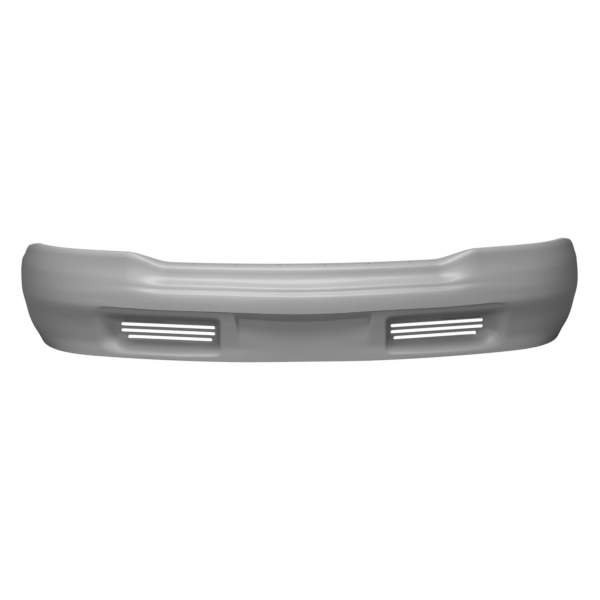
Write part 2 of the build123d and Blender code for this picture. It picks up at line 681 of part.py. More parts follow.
left_parts = {
    "side_bracket": side_bracket_left.part,
    "side_bracket_push_nuts": push_nuts(behind_web),
    "side_bracket_studs": studs(stud_planes),
    "wheel_flange_spring_nuts": spring_nuts(left_wheel_edge),
}
nodes = {
    "fascia_skin": fascia_skin.part,
    "upper_retainer_strip": upper_retainer_strip.part,
    "upper_strip_push_nuts": push_nuts(behind_strip),
    "lower_reinforcement_strip": lower_reinforcement_strip.part,
    "lower_strip_push_nuts": push_nuts(on_strip),
    "lower_spring_nuts": spring_nuts(lower_edge_planes()),
}
for name, shape in left_parts.items():
    nodes[name + "_left"] = shape
    nodes[name + "_right"] = mirror(shape, about=Plane.YZ)

os.makedirs("parts", exist_ok=True)
for name, shape in nodes.items():
    shape.label = name
    export_step(shape, f"parts/{name}.step")
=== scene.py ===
"""Looks for the bumper cover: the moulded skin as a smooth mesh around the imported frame, materials, a white
studio and the camera. The skin's numbers are millimetres in the frame; Blender objects are in metres."""

import json
import math

import bmesh
import bpy
import numpy as np
from mathutils import Matrix, Vector


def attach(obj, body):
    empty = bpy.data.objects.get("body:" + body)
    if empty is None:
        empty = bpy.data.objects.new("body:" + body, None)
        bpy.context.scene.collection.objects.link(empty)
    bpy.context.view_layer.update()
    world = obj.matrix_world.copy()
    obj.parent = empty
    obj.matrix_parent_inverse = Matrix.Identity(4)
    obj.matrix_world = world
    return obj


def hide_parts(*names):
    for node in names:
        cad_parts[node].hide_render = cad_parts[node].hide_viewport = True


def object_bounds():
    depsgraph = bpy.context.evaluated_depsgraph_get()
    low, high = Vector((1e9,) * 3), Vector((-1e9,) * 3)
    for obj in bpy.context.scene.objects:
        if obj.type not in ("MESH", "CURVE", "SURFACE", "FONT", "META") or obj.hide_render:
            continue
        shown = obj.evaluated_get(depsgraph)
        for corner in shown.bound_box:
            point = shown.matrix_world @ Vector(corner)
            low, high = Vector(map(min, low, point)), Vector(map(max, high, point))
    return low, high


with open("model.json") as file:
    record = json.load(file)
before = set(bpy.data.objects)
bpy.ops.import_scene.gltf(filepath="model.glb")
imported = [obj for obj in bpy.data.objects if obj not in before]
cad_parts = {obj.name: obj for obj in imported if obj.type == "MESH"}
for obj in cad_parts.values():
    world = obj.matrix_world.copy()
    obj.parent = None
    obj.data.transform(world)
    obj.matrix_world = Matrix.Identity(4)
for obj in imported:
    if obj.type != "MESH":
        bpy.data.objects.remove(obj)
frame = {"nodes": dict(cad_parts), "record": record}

cad_box = [list(corner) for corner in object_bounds()]
MM = 0.001
HALF_DEPTH = (cad_box[1][1] - cad_box[0][1]) / 2 / MM
WALL = 3.0  # thickness of the moulding

# ---- Plan curve, by arc length from the mid-plane -------------------------------------------------------
FRONT_RADIUS = 1955.0
CORNER_RADIUS = 273.0
CORNER_IN = (640.0, 783.0)
CORNER_OUT = (927.0, 1071.0)
SIDE_END = 1215.0
PLAN_STEP = 0.5  # spacing of the points the plan curve is traced with

# ---- Cross-sections as (inset from the plan curve, height) ----------------------------------------------
# The upper face runs from the top flange's front corner down to the lip, and the lower one on to the edge.
CENTRE_UPPER = [
    (80, 278), (67, 269.5), (59.5, 251), (50.5, 236.5), (35.5, 224.5),
    (26.5, 217), (23.5, 209), (13, 200.5), (8, 190.5), (2.8, 169), (0, 149.5),
]
MIDDLE_UPPER = [
    (80, 278), (67, 270), (59.5, 252), (51, 239), (36, 228.5),
    (27.5, 221), (24, 213), (14, 204.5), (8.5, 195), (3, 175), (0, 156),
]
RAISED_UPPER = [
    (52, 314), (47, 305), (43, 289), (37, 267), (27, 243.5),
    (21, 230.5), (17.5, 219.5), (12.5, 209.5), (9, 198.5), (3.8, 177), (0, 158),
]
SIDE_UPPER = [
    (26, 320.5), (20.5, 308), (16, 290), (10.5, 267), (6.5, 245),
    (5, 234), (4, 223), (3.2, 212), (2.4, 200), (1.2, 181), (1, 161),
]
FRONT_LOWER = [(11.5, 113), (17.5, 62), (18, 39), (14.5, 22), (12, 8), (10.5, 0)]
SIDE_LOWER = [(9.5, 115), (22.5, 62), (33, 39), (43, 22), (50.5, 8), (55, 0)]
CENTRE_DIP = (0.0, 300.0)  # arc lengths over which the centre section turns into the middle one
STEP_UP = (417.0, 546.0)  # and the middle one into the raised one
TURN_TO_SIDE = (520.0, 920.0)  # and the raised one into the side's
TURN_TO_SIDE_LOW = (640.0, 1000.0)  # the same for the lower face
TOP_DROP_START, TOP_DROP, TOP_DROP_POWER = 880.0, 88.0, 1.15  # the top edge's fall towards the wheel opening
WAIST = 209.0  # the height above which the side is squeezed by that fall
TOP_FLANGE = (31.0, 14.0, 10.0)  # widths at the middle, at the raised ends and at the sides
BOTTOM_STEP = (6.0, 3.0)  # the lower edge's turn into the bottom flange: inwards and up
BOTTOM_FLANGE = (29.0, 12.0)  # widths at the front and at the sides

CREASE_FADE = (490.0, 640.0)
CREASE_POINTS = (4, 5, 6, 7, 8)  # upper points; as the crease fades, the inner ones are drawn into line
SIDE_SMOOTH = (510.0, 640.0)  # the lip's edge melts into one smooth face between these

# The lip's step back into the lower face, with a rounded outer end.
LIP_STEP, LIP_RUN = 5.0, 4.0  # how deep the step is and how far down it's reached
LIP_END, LIP_END_RADIUS, LIP_END_RUN = 640.0, 30.0, 26.0  # the run widens to the last one at the end
LIP_STEP_FOOT = 113.0  # the height where the step has died away

# Number-plate recess.
PLATE_HALF_WIDTH = 190.0
PLATE_TOP = 118.0
PLATE_FOOT_DEPTH, PLATE_TOP_DEPTH = 18.0, 36.0
PLATE_SIDE_DRAFT = 0.7
ROOF_START, ROOF_SLOPE = (3.0, 2.0), 1.12  # the roof starts this far behind and below the lip
PLATE_EDGE, PLATE_CORNER = 5.0, 4.0  # roundings of the recess's rim and of its inner corners

# Air pockets, in the upright plane that touches the plan curve at POCKET_AT.
POCKET_AT = 425.0
POCKET_FLOOR = (-157.0, 150.0, 42.0, 113.0)  # inner end, outer end, bottom and top
POCKET_RUN = (27.0, 62.0, 28.0, 24.0)  # how far each wall runs out while it rises to the mouth
POCKET_FLOOR_DEPTH, POCKET_MOUTH_DEPTH = 66.0, 8.0
POCKET_EDGE, POCKET_OUTER_EDGE = 9.0, 22.0  # rounding of the mouth's rim, inboard and outboard
POCKET_EDGE_GROWS = 40.0  # the rim's rounding grows from here outboard, to this far past the floor's end
POCKET_CORNER = 16.0  # rounding between the floor and the walls
POCKET_TURNS = (45.0, 90.0)  # rounding between the ledge and the end walls, at the inner and outer ends
SLOT_LENGTHS = (290.0, 290.0, 260.0)
SLOT_SHIFTS = (-4.0, -4.0, -10.0)
SLOT_HEIGHT, SLOT_PITCH, SLOT_TOP = 9.6, 18.75, 92.0
GROOVE_LENGTH, GROOVE_HEIGHT, GROOVE_DEPTH = 120.0, 6.0, 1.2
GROOVE_SHIFT, GROOVE_LEVEL = 70.0, 105.0

# Holes in the flanges, and the moulded pegs and pads behind the skin.
UPPER_ROW_INSET, BODY_HOLES_AT, UPPER_PEGS_AT = 97.0, (70.0, 210.0, 340.0), (0.0, 140.0, 280.0, 378.0)
LOWER_ROW_INSET, LOWER_NUTS_AT, LOWER_PEGS_AT = 35.0, (365.0, 500.0), (0.0, 150.0, 300.0)
BODY_HOLE_RADIUS, FLANGE_HOLE_RADIUS, NUT_HOLE_IN = 3.5, 4.0, 8.0
WHEEL_NUTS_HIGH = (60.0, 102.0, 144.0)
PEG_RADIUS, PEG_LENGTH, PEG_CHAMFER = 2.5, 8.0, 0.5
BRACKET_AT, BRACKET_INSET, PAD_RADIUS = 1071.0, 10.0, 6.0
BRACKET_PEGS = ((60.0, 188.0), (8.0, 206.0), (-32.0, 188.0))
SLOT_BREAK = 0.9  # the slots' front edges are broken by this much
THROUGH = 12.0  # how far a cutting tool runs past the wall
ROUND_STEPS = 32
SHARP_ANGLE = 38.0  # degrees

# Wheel opening.
WHEEL_BACK, WHEEL_DROP, WHEEL_RADIUS = 830.0, 60.0, 430.0  # its centre behind the nose and below the edge
WHEEL_FLANGE = 22.0
WHEEL_EDGE_RADIUS = 3.5
WHEEL_TURN_ROWS = 3  # rows below the flange's top in which its rounded edge builds up
WHEEL_FLANGE_COLUMNS = 6  # columns of points across the flange's flat

# Mesh spacing.
FINE, MEDIUM, COARSE = 3.4, 6.0, 9.0
FINE_FROM, FINE_TO = 180.0, 700.0
TAIL_START, TAIL_COLUMNS = 930.0, 28
TAIL_SAMPLES = 400  # arc lengths sampled where the wheel opening's edge is looked for
FACE_START, FACE_STOP = 4.0, 2.5  # how far inside its two corners the face's own rows start and stop
LIP_GAP = 1.0  # least distance between the lip and the row above it
LIP_ROWS, LIP_ROWS_IN_RUN = 8, 7  # rows just below the lip, and how many of them span its run
TOP_FLANGE_SHARES = (0.0, 0.22, 0.44, 0.66, 0.86)  # places of the rows across the top flange
BOTTOM_FLANGE_SHARES = (0.12, 0.4, 0.7, 1.0)
EDGE_SHARES = (0.35, 0.7)  # and between the lower edge and its step
TOP_CORNER_ROWS, EDGE_CORNER_ROWS, STEP_CORNER_ROWS = 4, 3, 2  # rows that round each corner
FOOT_ROWS = 4  # the bottom flange's last rows, over which a recess cut into the lower edge dies out
NORMAL_REACH, NORMAL_PASSES = 2.6, 30  # distance and number of passes in evening out the wall's directions


def smooth(value, start, end):
    """0 before start, 1 after end, and an even S between them."""
    t = np.clip((value - start) / (end - start), 0.0, 1.0)
    return t * t * (3 - 2 * t)


def lower_of(a, b, radius):
    """The smaller of two heights, with the crossing rounded."""
    h = np.clip(0.5 + 0.5 * (b - a) / radius, 0.0, 1.0)
    return b * (1 - h) + a * h - radius * h * (1 - h)


def higher_of(a, b, radius):
    """The larger of two heights, with the crossing rounded."""
    return -lower_of(-a, -b, radius)


# ---- Plan curve -----------------------------------------------------------------------------------------
def trace_plan():
    """Arrays of arc length, x, distance behind the nose and heading along one half of the plan curve."""
    length = np.linspace(0.0, SIDE_END, round(SIDE_END / PLAN_STEP) + 1)
    step = length[1]
    curvature = 1 / FRONT_RADIUS + (1 / CORNER_RADIUS - 1 / FRONT_RADIUS) * smooth(length, *CORNER_IN)
    curvature *= 1 - smooth(length, *CORNER_OUT)

    def running_sum(values):
        return np.concatenate([[0.0], np.cumsum((values[1:] + values[:-1]) / 2 * step)])

    heading = running_sum(curvature)
    return length, running_sum(np.cos(heading)), running_sum(np.sin(heading)), heading


PLAN = trace_plan()


def plan_at(length):
    """x, distance behind the nose and heading at arc lengths, which are negative on the right."""
    side = np.where(length < 0, -1.0, 1.0)
    x, back, heading = (np.interp(np.abs(length), PLAN[0], column) for column in PLAN[1:])
    return side * x, back, side * heading


def placed(length, inset, height):
    """Points in the frame, in millimetres measured back from the nose."""
    x, back, heading = plan_at(length)
    return np.stack([x - np.sin(heading) * inset, back + np.cos(heading) * inset, height], -1)


# ---- Cross-section --------------------------------------------------------------------------------------
def control_points(length):
    """The outline's control points at arc lengths: flange end, upper face, lower face, step and foot."""
    along = np.abs(length)[..., None, None]
    tables = [np.array(t, float) for t in (CENTRE_UPPER, MIDDLE_UPPER, RAISED_UPPER, SIDE_UPPER)]
    shares = [smooth(along, *span) for span in (CENTRE_DIP, STEP_UP, TURN_TO_SIDE)]
    upper = np.broadcast_to(tables[0], along.shape[:-2] + tables[0].shape)
    for table, share in zip(tables[1:], shares):
        upper = upper + (table - upper) * share
    fall = np.clip((along - TOP_DROP_START) / (SIDE_END - TOP_DROP_START), 0, 1) ** TOP_DROP_POWER * TOP_DROP
    heights = upper[..., 1:]
    squeeze = 1 - fall / (heights[..., :1, :] - WAIST)
    heights = np.where(heights > WAIST, WAIST + (heights - WAIST) * squeeze, heights)
    upper = np.concatenate([upper[..., :1], heights], -1)
    first, last = CREASE_POINTS[0], CREASE_POINTS[-1]
    crease = 1 - smooth(along[..., 0], *CREASE_FADE)
    high, low = upper[..., first, :], upper[..., last, :]
    for k in CREASE_POINTS[1:-1]:
        share = (high[..., 1] - upper[..., k, 1]) / (high[..., 1] - low[..., 1])
        straight = high[..., 0] + (low[..., 0] - high[..., 0]) * share
        upper[..., k, 0] = straight + (upper[..., k, 0] - straight) * crease[..., 0]
    raised, side = shares[1:]
    side_low = smooth(along, *TURN_TO_SIDE_LOW)
    front_lower, side_lower = np.array(FRONT_LOWER, float), np.array(SIDE_LOWER, float)
    lower = front_lower + (side_lower - front_lower) * side_low
    flange = TOP_FLANGE[0] + (TOP_FLANGE[1] - TOP_FLANGE[0]) * raised
    flange = flange + (TOP_FLANGE[2] - flange) * side
    foot_width = BOTTOM_FLANGE[0] + (BOTTOM_FLANGE[1] - BOTTOM_FLANGE[0]) * side_low
    flange_end = upper[..., :1, :] + np.concatenate([flange, np.zeros_like(flange)], -1)
    step = lower[..., -1:, :] + np.array(BOTTOM_STEP)
    foot = step + np.concatenate([foot_width, np.zeros_like(foot_width)], -1)
    return np.concatenate([flange_end, upper, lower, step, foot], -2)


CONTROLS = 1 + len(CENTRE_UPPER) + len(FRONT_LOWER) + 2
FLANGE_END, TOP_CORNER = 0, 1
LIP = len(CENTRE_UPPER)
EDGE = LIP + len(FRONT_LOWER)
STEP, FOOT = EDGE + 1, EDGE + 2


def spline_weights(knots, samples):
    """How a natural cubic spline through values at the knots weighs them at the samples."""
    count = len(knots)
    gap = np.diff(knots)
    bend, load = np.zeros((count, count)), np.zeros((count, count))
    bend[0, 0] = bend[-1, -1] = 1.0
    for i in range(1, count - 1):
        bend[i, i - 1 : i + 2] = gap[i - 1], 2 * (gap[i - 1] + gap[i]), gap[i]
        load[i, i - 1 : i + 2] = 6 / gap[i - 1], -6 / gap[i - 1] - 6 / gap[i], 6 / gap[i]
    second = np.linalg.solve(bend, load)
    weights = np.zeros((len(samples), count))
    for row, sample in enumerate(samples):
        i = int(np.clip(np.searchsorted(knots, sample) - 1, 0, count - 2))
        b = (sample - knots[i]) / gap[i]
        a = 1 - b
        weights[row, i] += a
        weights[row, i + 1] += b
        weights[row] += ((a**3 - a) * second[i] + (b**3 - b) * second[i + 1]) * gap[i] ** 2 / 6
    return weights


def chord_knots(points):
    """Distances along a row of points."""
    return np.concatenate([[0.0], np.cumsum(np.hypot(*np.diff(np.array(points, float), axis=0).T))])


def row_weights(joined):
    """Weights on the control points, one row for each row of the mesh, and where the face starts and ends.

    Joined weights run one curve through the upper and lower faces; the others meet at the lip with an edge.
    """
    rows = []

    def unit(index):
        return np.eye(CONTROLS)[index]

    def line(start, end, shares):
        rows.extend(start + (end - start) * share for share in shares)

    def corner(start, middle, end, count):
        for t in np.linspace(0, 1, count + 2)[1:-1]:
            rows.append(start * (1 - t) ** 2 + middle * 2 * t * (1 - t) + end * t * t)

    upper_knots = chord_knots(MIDDLE_UPPER)
    whole_knots = chord_knots(MIDDLE_UPPER + FRONT_LOWER)
    upper_samples = np.arange(FACE_START, upper_knots[-1] - LIP_GAP, FINE)
    upper_samples = np.append(upper_samples, upper_knots[-1])
    upper = np.zeros((len(upper_samples), CONTROLS))
    upper[:, TOP_CORNER : LIP + 1] = spline_weights(upper_knots, upper_samples)

    lower_knots = chord_knots([MIDDLE_UPPER[-1]] + FRONT_LOWER)
    lower_end = lower_knots[-1] - FACE_STOP
    lip_samples = np.arange(1, LIP_ROWS + 1) * LIP_RUN / LIP_ROWS_IN_RUN
    face_count = round((lower_end - lip_samples[-1]) / FINE)
    face_samples = np.linspace(lip_samples[-1], lower_end, face_count)[1:]
    lower_samples = np.concatenate([lip_samples, face_samples])
    lower = np.zeros((len(lower_samples), CONTROLS))
    lower[:, LIP : EDGE + 1] = spline_weights(lower_knots, lower_samples)

    if joined:
        upper[:, TOP_CORNER : EDGE + 1] = spline_weights(whole_knots, upper_samples)
        lower[:, TOP_CORNER : EDGE + 1] = spline_weights(whole_knots, upper_knots[-1] + lower_samples)
    line(unit(FLANGE_END), unit(TOP_CORNER), TOP_FLANGE_SHARES)
    corner(rows[-1], unit(TOP_CORNER), upper[0], TOP_CORNER_ROWS)
    rows.extend(upper)
    face_top = len(rows) - len(upper)
    rows.extend(lower)
    after_edge, before_step = (unit(EDGE) + (unit(STEP) - unit(EDGE)) * share for share in EDGE_SHARES)
    after_step = unit(STEP) + (unit(FOOT) - unit(STEP)) * BOTTOM_FLANGE_SHARES[0]
    corner(lower[-1], unit(EDGE), after_edge, EDGE_CORNER_ROWS)
    edge_row = len(rows) - 2
    rows.extend([after_edge, before_step])
    corner(before_step, unit(STEP), after_step, STEP_CORNER_ROWS)
    line(unit(STEP), unit(FOOT), BOTTOM_FLANGE_SHARES)
    return np.array(rows), face_top, edge_row


ROWS, FACE_TOP_ROW, EDGE_ROW = row_weights(joined=False)
SMOOTH_ROWS = row_weights(joined=True)[0]
LIP_ROW = int(np.argmax(np.abs(ROWS[:, LIP] - 1) < 1e-9))


def lip_height(length):
    """The height of the lip at arc lengths."""
    return control_points(length)[..., LIP, 1]


def lip_step(length, height):
    """How far the lower face is set back behind the lip, with a rounded end that dies away."""
    along = np.abs(length)
    past_end = along - LIP_END + LIP_END_RADIUS
    above = height - lip_height(length) + LIP_END_RADIUS
    outside = np.hypot(np.maximum(past_end, 0), np.maximum(above, 0))
    outside = outside + np.minimum(np.maximum(past_end, above), 0) - LIP_END_RADIUS
    run = LIP_RUN + (LIP_END_RUN - LIP_RUN) * smooth(along, LIP_END - 2 * LIP_END_RADIUS, LIP_END)
    share = smooth(-outside, 0, run)
    fade = np.clip((height - LIP_STEP_FOOT) / (lip_height(length) - LIP_RUN - LIP_STEP_FOOT), 0, 1)
    return LIP_STEP * share * fade


# ---- Recesses -------------------------------------------------------------------------------------------
def plate_depth(x, height):
    """How far behind the nose the number-plate recess reaches, by x and height."""
    across = np.abs(x)
    panel = PLATE_FOOT_DEPTH + (PLATE_TOP_DEPTH - PLATE_FOOT_DEPTH) * height / PLATE_TOP
    _, lip_back, _ = plan_at(x)
    roof = lip_back + ROOF_START[0] + (lip_height(x) - ROOF_START[1] - height) * ROOF_SLOPE
    wall = panel - (across - PLATE_HALF_WIDTH) / PLATE_SIDE_DRAFT
    return lower_of(lower_of(panel, roof, PLATE_CORNER), wall, PLATE_CORNER)


def pocket_frame():
    """Origin, outboard direction and inward direction of the left pocket's plane, in plan."""
    x, back, heading = (float(value) for value in plan_at(np.array(POCKET_AT)))
    along = np.array([math.cos(heading), math.sin(heading)])
    inward = np.array([-math.sin(heading), math.cos(heading)])
    return np.array([x, back]), along, inward


def pocket_depth(across, height):
    """The depth of a pocket's surface behind its plane, by distance outboard and height."""
    inner, outer, bottom, top = POCKET_FLOOR
    rise = POCKET_FLOOR_DEPTH - POCKET_MOUTH_DEPTH
    inner_run, outer_run, bottom_run, top_run = POCKET_RUN
    turn = POCKET_TURNS[0] + (POCKET_TURNS[1] - POCKET_TURNS[0]) * smooth(across, 0, outer)
    roof = POCKET_FLOOR_DEPTH - (height - top) * rise / top_run
    ledge = POCKET_FLOOR_DEPTH - (bottom - height) * rise / bottom_run
    ends = lower_of(
        POCKET_FLOOR_DEPTH - (inner - across) * rise / inner_run,
        POCKET_FLOOR_DEPTH - (across - outer) * rise / outer_run,
        POCKET_CORNER,
    )
    walls = lower_of(lower_of(ledge, ends, turn), roof, POCKET_TURNS[0])
    return lower_of(walls, POCKET_FLOOR_DEPTH, POCKET_CORNER)


def with_recesses(points, below_lip):
    """The skin's points, pushed back into the plate recess and the pockets where they're below the lip."""
    x, back, height = points[..., 0], points[..., 1], points[..., 2]
    recessed = higher_of(back, plate_depth(x, height), PLATE_EDGE)
    moved = np.stack([x, np.where(below_lip, recessed, back), height], -1)
    origin, along, inward = pocket_frame()
    side = np.where(moved[..., 0] < 0, -1.0, 1.0)
    plan = np.stack([moved[..., 0] * side, moved[..., 1]], -1) - origin
    across, depth = plan @ along, plan @ inward
    rim = POCKET_EDGE_GROWS, POCKET_FLOOR[1] + POCKET_EDGE_GROWS
    edge = POCKET_EDGE + (POCKET_OUTER_EDGE - POCKET_EDGE) * smooth(across, *rim)
    sunk = np.where(below_lip, higher_of(depth, pocket_depth(across, height), edge), depth)
    plan = origin + across[..., None] * along + sunk[..., None] * inward
    return np.stack([plan[..., 0] * side, plan[..., 1], height], -1)


# ---- The skin's outer surface ---------------------------------------------------------------------------
def outer_points(lengths):
    """Points of the outer surface: lengths holds an arc length for each row and column."""
    controls = control_points(lengths)
    edged = np.einsum("rk,rckj->rcj", ROWS, controls)
    joined = np.einsum("rk,rckj->rcj", SMOOTH_ROWS, controls)
    section = edged + (joined - edged) * smooth(np.abs(lengths), *SIDE_SMOOTH)[..., None]
    inset, height = section[..., 0], section[..., 1]
    row = np.arange(len(ROWS))[:, None]
    below_lip = np.broadcast_to((row > LIP_ROW) & (row <= EDGE_ROW + 1), inset.shape)
    inset = inset + np.where(below_lip, lip_step(lengths, height), 0)
    whole = placed(lengths, inset, height)
    points = with_recesses(whole, below_lip)
    last = EDGE_ROW + 1
    carried = np.clip((len(ROWS) - 1 - row[last + 1 :]) / FOOT_ROWS, 0, 1)
    points[last + 1 :] += (points[last] - whole[last]) * carried[..., None]
    return points


def rear_ends():
    """The arc length at which each row meets the wheel opening or the rear limit of the part."""
    lengths = np.linspace(TAIL_START, SIDE_END, TAIL_SAMPLES)
    points = outer_points(np.broadcast_to(lengths, (len(ROWS), len(lengths))))
    back, height = points[..., 1], points[..., 2]
    in_wheel = WHEEL_RADIUS - np.hypot(back - WHEEL_BACK, height + WHEEL_DROP)
    past = np.maximum(in_wheel, back - 2 * HALF_DEPTH)
    ends = []
    for row in past:
        i = int(np.argmax(row > 0))
        share = -row[i - 1] / (row[i] - row[i - 1])
        ends.append(lengths[i - 1] + share * (lengths[i] - lengths[i - 1]))
    on_wheel = np.array([np.interp(end, lengths, row) > -PLAN_STEP for end, row in zip(ends, in_wheel)])
    return np.array(ends), on_wheel


def column_lengths(ends):
    """Arc lengths of the columns on the left half, row by row."""
    near = np.linspace(0, FINE_FROM, round(FINE_FROM / MEDIUM) + 1)
    fine = np.linspace(FINE_FROM, FINE_TO, round((FINE_TO - FINE_FROM) / FINE) + 1)[1:]
    far = np.linspace(FINE_TO, TAIL_START, round((TAIL_START - FINE_TO) / COARSE) + 1)[1:]
    fixed = np.concatenate([near, fine, far])
    tail_end = ends - WHEEL_EDGE_RADIUS
    shares = np.linspace(0, 1, TAIL_COLUMNS + 1)[1:]
    tail = TAIL_START + (tail_end[:, None] - TAIL_START) * shares
    return np.hstack([np.broadcast_to(fixed, (len(ends), len(fixed))), tail, ends[:, None]])


def left_half():
    """The left half of the outer surface, row by row, and the wheel flange's points with its rows."""
    ends, on_wheel = rear_ends()
    points = outer_points(column_lengths(ends))
    first = FACE_TOP_ROW + int(np.argmax(on_wheel[FACE_TOP_ROW:]))
    flange_rows = np.arange(first, EDGE_ROW + 1)
    turned = smooth(np.arange(len(ROWS)), first - 1, first + WHEEL_TURN_ROWS)[:, None]
    before, edge = points[:, -2].copy(), points[:, -1].copy()
    inboard = np.array([-1.0, 0.0, 0.0])
    after = edge + inboard * WHEEL_EDGE_RADIUS

    def round_the_edge(t):
        return before * (1 - t) ** 2 + edge * 2 * t * (1 - t) + after * t**2

    points[:, -1] = edge + (round_the_edge(0.5) - edge) * turned
    straight = (before + edge) / 2
    between = straight + (round_the_edge(0.25) - straight) * turned
    points = np.concatenate([points[:, :-1], between[:, None], points[:, -1:]], 1)
    width = (WALL + WHEEL_FLANGE) / math.sin(PLAN[3][-1])
    steps = np.linspace(WHEEL_EDGE_RADIUS, width, WHEEL_FLANGE_COLUMNS)
    columns = [round_the_edge(0.75)] + [edge + inboard * step for step in steps]
    flange = np.stack(columns, 1)[flange_rows]
    return points, flange, flange_rows


def surface_mesh():
    """Vertices and faces of the whole outer surface, with normals pointing out of the cover."""
    half, flange, flange_rows = left_half()
    rows, columns = half.shape[:2]
    mirror = np.array([-1.0, 1.0, 1.0])
    grid = np.concatenate([(half * mirror)[:, :0:-1], half], 1)
    width = grid.shape[1]
    vertices = list(grid.reshape(-1, 3))
    index = np.arange(rows * width).reshape(rows, width)
    faces = []

    def sheet(numbers, flip):
        for r in range(numbers.shape[0] - 1):
            for c in range(numbers.shape[1] - 1):
                face = [numbers[r, c], numbers[r + 1, c], numbers[r + 1, c + 1], numbers[r, c + 1]]
                faces.append(face[::-1] if flip else face)

    sheet(index, False)
    for side, edge_column, flip in ((1.0, width - 1, False), (-1.0, 0, True)):
        start = len(vertices)
        strip = flange * np.array([side, 1.0, 1.0])
        vertices.extend(strip.reshape(-1, 3))
        numbers = start + np.arange(strip.shape[0] * strip.shape[1]).reshape(strip.shape[:2])
        sheet(np.hstack([index[flange_rows, edge_column][:, None], numbers]), flip)
    points = np.array(vertices)
    points[:, 1] -= HALF_DEPTH
    return points * MM, faces


def build_mesh(name, vertices, faces):
    """A new mesh object in the scene."""
    mesh = bpy.data.meshes.new(name)
    mesh.from_pydata([tuple(v) for v in vertices], [], [tuple(int(i) for i in f) for f in faces])
    mesh.validate()
    thing = bpy.data.objects.new(name, mesh)
    bpy.context.scene.collection.objects.link(thing)
    return thing


def wall_directions(vertices, faces):
    """Vertex normals, evened out over a few millimetres so that the inside of a sharp corner doesn't fold."""
    quads = np.array(faces)
    corners = vertices[quads]
    crossed = np.cross(corners[:, 2] - corners[:, 0], corners[:, 3] - corners[:, 1])
    normals = np.zeros_like(vertices)
    for k in range(4):
        np.add.at(normals, quads[:, k], crossed)
    normals /= np.linalg.norm(normals, axis=1, keepdims=True)
    edges = np.sort(np.vstack([quads[:, [k, (k + 1) % 4]] for k in range(4)]), axis=1)
    edges = np.unique(edges, axis=0)
    apart = np.linalg.norm(vertices[edges[:, 0]] - vertices[edges[:, 1]], axis=1)
    weight = np.exp(-((apart / (NORMAL_REACH * MM)) ** 2))[:, None]
    for _ in range(NORMAL_PASSES):
        total = normals.copy()
        np.add.at(total, edges[:, 0], normals[edges[:, 1]] * weight)
        np.add.at(total, edges[:, 1], normals[edges[:, 0]] * weight)
        normals = total / np.linalg.norm(total, axis=1, keepdims=True)
    return normals


def thickened(vertices, faces):
    """The closed shell between a surface and its copy one wall further in."""
    normals = wall_directions(vertices, faces)
    count = len(vertices)
    inner = vertices - normals * WALL * MM
    quads = np.array(faces)
    half_edges = np.vstack([quads[:, [k, (k + 1) % 4]] for k in range(4)])
    keys = half_edges[:, 0].astype(np.int64) * count + half_edges[:, 1]
    back_keys = half_edges[:, 1].astype(np.int64) * count + half_edges[:, 0]
    free = half_edges[~np.isin(keys, back_keys)]
    shell = [list(f) for f in quads]
    shell += [list(f[::-1] + count) for f in quads]
    shell += [[b, a, a + count, b + count] for a, b in free]
    return np.vstack([vertices, inner]), shell


# ---- Slots, holes, pegs and pads ------------------------------------------------------------------------
UP = Vector((0, 0, 1))


def axes_at(length, inset, height, side):
    """A point inwards of the plan curve on one side, and the directions there.

    Outboard runs along the curve, away from the mid-plane; forward is square to it, out of the cover.
    """
    x, back, heading = (float(value) for value in plan_at(np.array(length)))
    outboard = Vector((side * math.cos(heading), math.sin(heading), 0))
    forward = Vector((side * math.sin(heading), -math.cos(heading), 0))
    return Vector((side * x, back - HALF_DEPTH, height)) - forward * inset, outboard, forward


def round_slot(length, height):
    """The outline of a round-ended slot, as points with their outward directions."""
    radius = height / 2
    reach = length / 2 - radius
    half = []
    for turn in np.linspace(-math.pi / 2, math.pi / 2, ROUND_STEPS // 2 + 1):
        out_x, out_y = math.cos(turn), math.sin(turn)
        half.append((reach + radius * out_x, radius * out_y, out_x, out_y))
    return half + [tuple(-value for value in point) for point in half]


def ring(radius):
    """The outline of a circle, as points with their outward directions."""
    turns = [2 * math.pi * k / ROUND_STEPS for k in range(ROUND_STEPS)]
    return [(radius * math.cos(t), radius * math.sin(t), math.cos(t), math.sin(t)) for t in turns]


def add_prism(bm, origin, across, upward, outline, levels):
    """A closed prism square to the plane of across and upward, and the rings of vertices at its levels.

    The levels are (distance off the plane, growth of the outline).
    """
    facing = across.cross(upward)
    rings = []
    for height, growth in levels:
        places = [
            origin + across * (x + out_x * growth) + upward * (y + out_y * growth) + facing * height
            for x, y, out_x, out_y in outline
        ]
        rings.append([bm.verts.new(place * MM) for place in places])
    for low, high in zip(rings, rings[1:]):
        for k in range(len(outline)):
            bm.faces.new((low[k - 1], low[k], high[k], high[k - 1]))
    bm.faces.new(rings[0][::-1])
    bm.faces.new(rings[-1])
    return rings


def wheel_hole(height):
    """Where a hole of the left wheel opening's flange is, and the direction away from the wheel there."""
    rise = height + WHEEL_DROP
    back = WHEEL_BACK - math.sqrt((WHEEL_RADIUS + WALL / 2) ** 2 - rise**2)
    lengths = np.linspace(TAIL_START, SIDE_END, TAIL_SAMPLES)
    faces = control_points(lengths)[:, LIP : EDGE + 1]
    insets = np.array([np.interp(height, face[::-1, 1], face[::-1, 0]) for face in faces])
    points = placed(lengths, insets, np.full(len(lengths), height))
    x = float(np.interp(back, points[:, 1], points[:, 0]))
    free_edge = x - (WALL + WHEEL_FLANGE) / math.sin(PLAN[3][-1])
    away = Vector((0, back - WHEEL_BACK, rise)).normalized()
    return Vector((free_edge + NUT_HOLE_IN, back - HALF_DEPTH, height)), away


